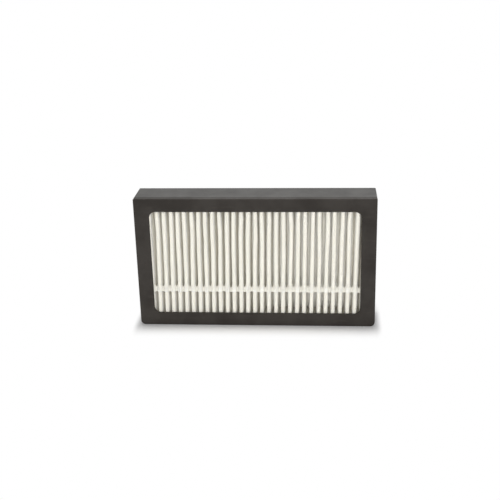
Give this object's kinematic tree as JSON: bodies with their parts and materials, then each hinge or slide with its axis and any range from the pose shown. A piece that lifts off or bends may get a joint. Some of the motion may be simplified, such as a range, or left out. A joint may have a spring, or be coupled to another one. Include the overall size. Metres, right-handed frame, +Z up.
{
  "type": "hepa filter panel",
  "caption": "Rectangular pleated air filter panel: a moulded frame with a rounded window front and back, a folded white media pack and a glue bead across the folds.",
  "frame": {"origin": "middle of the bottom of the panel's bounding box, on the surface that it stands on", "axes": "+X along the panel's width, +Y from the front window to the rear one, +Z up; the panel stands on its long lower edge"},
  "size_m": [0.159, 0.025, 0.09],
  "materials": {
    "bezel_plastic": "charcoal moulded plastic, fine matte texture",
    "tray_plastic": "charcoal moulded plastic, fine matte texture",
    "filter_media": "matte off-white fibre media",
    "potting": "satin off-white potting compound",
    "hot_melt": "satin off-white hot-melt adhesive"
  },
  "bodies": {
    "root": {"front_bezel": "bezel_plastic", "rear_tray": "tray_plastic", "pleat_pack": "filter_media", "top_potting": "potting", "bottom_potting": "potting", "left_edge_seal": "potting", "right_edge_seal": "potting", "front_glue_bead": "hot_melt", "rear_glue_bead": "hot_melt"}
  },
  "joints": []
}
